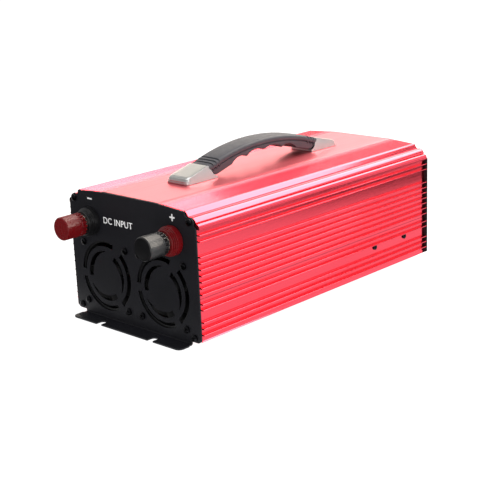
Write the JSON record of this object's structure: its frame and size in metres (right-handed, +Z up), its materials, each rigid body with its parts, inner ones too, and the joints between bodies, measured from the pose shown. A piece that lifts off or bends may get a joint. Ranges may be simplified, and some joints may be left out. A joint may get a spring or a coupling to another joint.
{
  "type": "power inverter",
  "caption": "Box-shaped DC to AC power inverter: finned red aluminium housing, black end plates with flanges, fan grilles, screw-down battery terminals and an arched carrying handle.",
  "frame": {"origin": "centre of the bounding box at its base, on the surface that the mounting flanges stand on", "axes": "+X to the right as seen from the front, where the battery terminals and fans are; +Y from the front to the rear; +Z up"},
  "size_m": [0.1808, 0.4036, 0.1558],
  "materials": {
    "red_anodised_aluminium": "red anodised, glossy",
    "black_powder_coat": "black fine-textured powder coat",
    "black_plastic": "black moulded",
    "red_plastic": "red moulded",
    "grip_soft_plastic": "dark grey soft-touch",
    "satin_zinc": "satin plated",
    "nickel_plate": "nickel plated",
    "black_zinc_screw": "black plated",
    "green_board": "green solder mask",
    "ferrite": "dull ferrite",
    "copper": "bare copper",
    "capacitor_sleeve": "dark blue sleeve",
    "green_lens": "green lens",
    "red_lens": "red lens"
  },
  "bodies": {
    "inverter": {"upper_housing": "red_anodised_aluminium", "lower_housing": "red_anodised_aluminium", "front_plate": "black_powder_coat", "rear_plate": "black_powder_coat", "fan_frame_left": "black_plastic", "fan_frame_right": "black_plastic", "negative_base": "black_plastic", "outlet_left": "black_plastic", "outlet_right": "black_plastic", "switch_frame": "black_plastic", "positive_base": "red_plastic", "negative_stud": "nickel_plate", "positive_stud": "nickel_plate", "handle_bracket_front": "satin_zinc", "handle_bracket_rear": "satin_zinc", "transistor_bank_left": "satin_zinc", "transistor_bank_right": "satin_zinc", "handle_grip": "grip_soft_plastic", "front_screw_upper_left": "black_zinc_screw", "front_screw_lower_left": "black_zinc_screw", "front_screw_upper_right": "black_zinc_screw", "front_screw_lower_right": "black_zinc_screw", "rear_screw_upper_left": "black_zinc_screw", "rear_screw_lower_left": "black_zinc_screw", "rear_screw_upper_right": "black_zinc_screw", "rear_screw_lower_right": "black_zinc_screw", "fan_screw_1": "black_zinc_screw", "fan_screw_2": "black_zinc_screw", "fan_screw_3": "black_zinc_screw", "fan_screw_4": "black_zinc_screw", "fan_screw_5": "black_zinc_screw", "fan_screw_6": "black_zinc_screw", "fan_screw_7": "black_zinc_screw", "fan_screw_8": "black_zinc_screw", "side_screw_left_1": "black_zinc_screw", "side_screw_left_2": "black_zinc_screw", "side_screw_right_1": "black_zinc_screw", "side_screw_right_2": "black_zinc_screw", "main_board": "green_board", "control_board": "green_board", "transformer_core_1": "ferrite", "transformer_core_2": "ferrite", "transformer_winding_1": "copper", "transformer_winding_2": "copper", "output_inductor": "copper", "negative_bus_bar": "copper", "positive_bus_bar": "copper", "input_capacitor_1": "capacitor_sleeve", "input_capacitor_2": "capacitor_sleeve", "bulk_capacitor": "capacitor_sleeve", "power_lamp": "green_lens", "fault_lamp": "red_lens"},
    "fan_rotor_left": {"fan_rotor_left": "black_plastic"},
    "fan_rotor_right": {"fan_rotor_right": "black_plastic"},
    "negative_washer": {"negative_washer": "nickel_plate"},
    "positive_washer": {"positive_washer": "nickel_plate"},
    "negative_knob": {"negative_knob": "red_plastic"},
    "positive_knob": {"positive_knob": "black_plastic"},
    "switch_rocker": {"switch_rocker": "black_plastic"}
  },
  "joints": [
    {"name": "fan_left_spin", "type": "hinge", "parent": "inverter", "child": "fan_rotor_left", "pos_m": [-0.0396, -0.16345, 0.0446], "axis": [0, 1, 0], "continuous": true},
    {"name": "fan_right_spin", "type": "hinge", "parent": "inverter", "child": "fan_rotor_right", "pos_m": [0.0396, -0.16345, 0.0446], "axis": [0, 1, 0], "continuous": true},
    {"name": "negative_washer_slide", "type": "slide", "parent": "inverter", "child": "negative_washer", "axis": [0, -1, 0], "range_m": [0, 0.01]},
    {"name": "negative_knob_spin", "type": "hinge", "parent": "negative_washer", "child": "negative_knob", "pos_m": [-0.057, -0.16535, 0.097], "axis": [0, -1, 0], "range_deg": [0, 2890]},
    {"name": "positive_washer_slide", "type": "slide", "parent": "inverter", "child": "positive_washer", "axis": [0, -1, 0], "range_m": [0, 0.01]},
    {"name": "positive_knob_spin", "type": "hinge", "parent": "positive_washer", "child": "positive_knob", "pos_m": [0.057, -0.16535, 0.097], "axis": [0, -1, 0], "range_deg": [0, 2890]},
    {"name": "switch_rock", "type": "hinge", "parent": "inverter", "child": "switch_rocker", "pos_m": [-0.052, 0.18085, 0.088], "axis": [1, 0, 0], "range_deg": [0, 18]}
  ],
  "couplings": [
    {"joint": "negative_knob_spin", "follows": "negative_washer_slide", "rad_per_m": 5026.5},
    {"joint": "positive_knob_spin", "follows": "positive_washer_slide", "rad_per_m": 5026.5}
  ]
}
